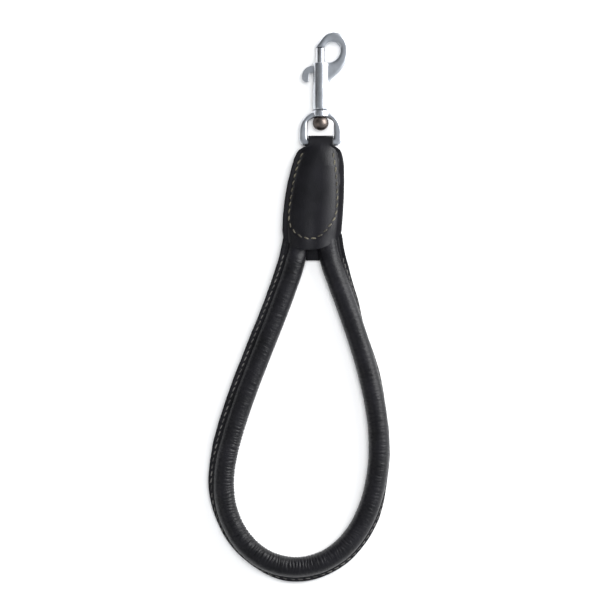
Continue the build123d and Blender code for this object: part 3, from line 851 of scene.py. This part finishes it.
pin_low, pin_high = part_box("swivel_pin")
BALL_R = (pin_high.x - pin_low.x) / 2
PIN_R = 2.0 * MM
HEAD_R, HEAD_HEIGHT, HEAD_CHAMFER = 2.9 * MM, 1.3 * MM, 0.3 * MM
BALL_EQUATOR, BALL_TOP = 15.0 * MM, 18.9 * MM
ball_profile = [(BALL_R * math.sin(math.pi / 2 * i / 12),
                 BALL_EQUATOR - (BALL_EQUATOR - pin_low.y) * math.cos(math.pi / 2 * i / 12)) for i in range(13)]
ball_profile += [(PIN_R + (BALL_R - PIN_R) * math.cos(math.pi / 2 * i / 10) ** 0.8,
                  BALL_EQUATOR + (BALL_TOP - BALL_EQUATOR) * math.sin(math.pi / 2 * i / 10))
                 for i in range(1, 11)]
head_y = pin_high.y - HEAD_HEIGHT
ball_profile += [(PIN_R, head_y), (HEAD_R, head_y), (HEAD_R, pin_high.y - HEAD_CHAMFER)]
ball_profile += [(HEAD_R - HEAD_CHAMFER, pin_high.y), (0, pin_high.y)]
swivel_pin = turned("rivet_ball", ball_profile, SNAP_X, SNAP_Z, RIVET_STEEL)

# ---------------------------------------------------------------- what each piece belongs to
PIECES = [
    (rolled_rope, "leather", "black_leather", ["loop_sleeve"]),
    (seam_front, "leather", "black_thread", ["seam_front_stitches"]),
    (seam_back, "leather", "black_thread", ["seam_back_stitches"]),
    (tab_leather, "leather", "black_leather", ["tab_strap", "tab_filler"]),
    (tab_tail, "leather", "black_leather", []),
    (tab_front, "leather", "black_thread", ["tab_front_stitches"]),
    (tab_back, "leather", "black_thread", ["tab_back_stitches"]),
    (hook_body, "hook", "plated_steel", ["hook_body"]),
    (swivel_pin, "hook", "rivet_steel", ["swivel_pin"]),
    (swivel_eye, "eye", "plated_steel", ["swivel_eye"]),
    (latch_bolt, "bolt", "plated_steel", ["latch_bolt"]),
    (thumb_lever, "bolt", "plated_steel", ["thumb_lever"]),
    (bolt_spring, "hook", "spring_steel", ["bolt_spring"]),
]
for piece, body, slot, nodes in PIECES:
    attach(piece, body)
    if nodes:
        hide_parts(*nodes)

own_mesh(bolt_spring)

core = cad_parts["loop_core"]
core.data.materials.clear()
core.data.materials.append(CORE_CORD)

# ---------------------------------------------------------------- floor and light
FLOOR_SIZE = 6.0
floor_finish = Finish("pale_floor", Base_Color=colour(0.86, 0.86, 0.86), Roughness=0.9)
half = FLOOR_SIZE / 2
floor = add_piece("floor", [(-half, -half, 0), (half, -half, 0), (half, half, 0), (-half, half, 0)],
                  [(0, 1, 2, 3)], floor_finish.material)


def soft_box(name, place, aim, size, power, mirrored=True):
    """A soft light; one that isn't mirrored brightens the floor without a shine on the leather."""
    lamp = bpy.data.lights.new(name, "AREA")
    lamp.shape = "RECTANGLE"
    lamp.size, lamp.size_y = size
    lamp.energy = power
    light = bpy.data.objects.new(name, lamp)
    light.location = place
    light.rotation_euler = (Vector(aim) - Vector(place)).to_track_quat("-Z", "Y").to_euler()
    light.visible_glossy = mirrored
    bpy.context.scene.collection.objects.link(light)


LOOP_MIDDLE = (0.0, -0.10, 0.0)
soft_box("key", (0.80, 0.30, 0.50), LOOP_MIDDLE, (0.9, 0.7), 15)
soft_box("top", (0.10, 0.10, 1.5), LOOP_MIDDLE, (0.9, 0.9), 22, mirrored=False)
soft_box("fill", (-0.9, -0.5, 0.8), LOOP_MIDDLE, (0.8, 0.8), 2)


def studio_sky(name, dim, bright, tint):
    """Pale surroundings, from dim on the left to bright on the right."""
    made = bpy.data.worlds.new(name)
    made.use_nodes = True
    nodes, links = made.node_tree.nodes, made.node_tree.links
    facing = nodes.new("ShaderNodeTexCoord")
    parts = nodes.new("ShaderNodeSeparateXYZ")
    sideways = nodes.new("ShaderNodeMapRange")
    limits = {"From Min": -0.8, "From Max": 0.8, "To Min": dim, "To Max": bright}
    for socket, value in limits.items():
        sideways.inputs[socket].default_value = value
    links.new(facing.outputs["Generated"], parts.inputs[0])
    links.new(parts.outputs["X"], sideways.inputs["Value"])
    links.new(sideways.outputs[0], nodes["Background"].inputs["Strength"])
    nodes["Background"].inputs["Color"].default_value = tint
    return made


bpy.context.scene.world = studio_sky("studio", 0.06, 0.80, colour(0.86, 0.90, 0.96))
bpy.context.scene.view_settings.view_transform = "Standard"
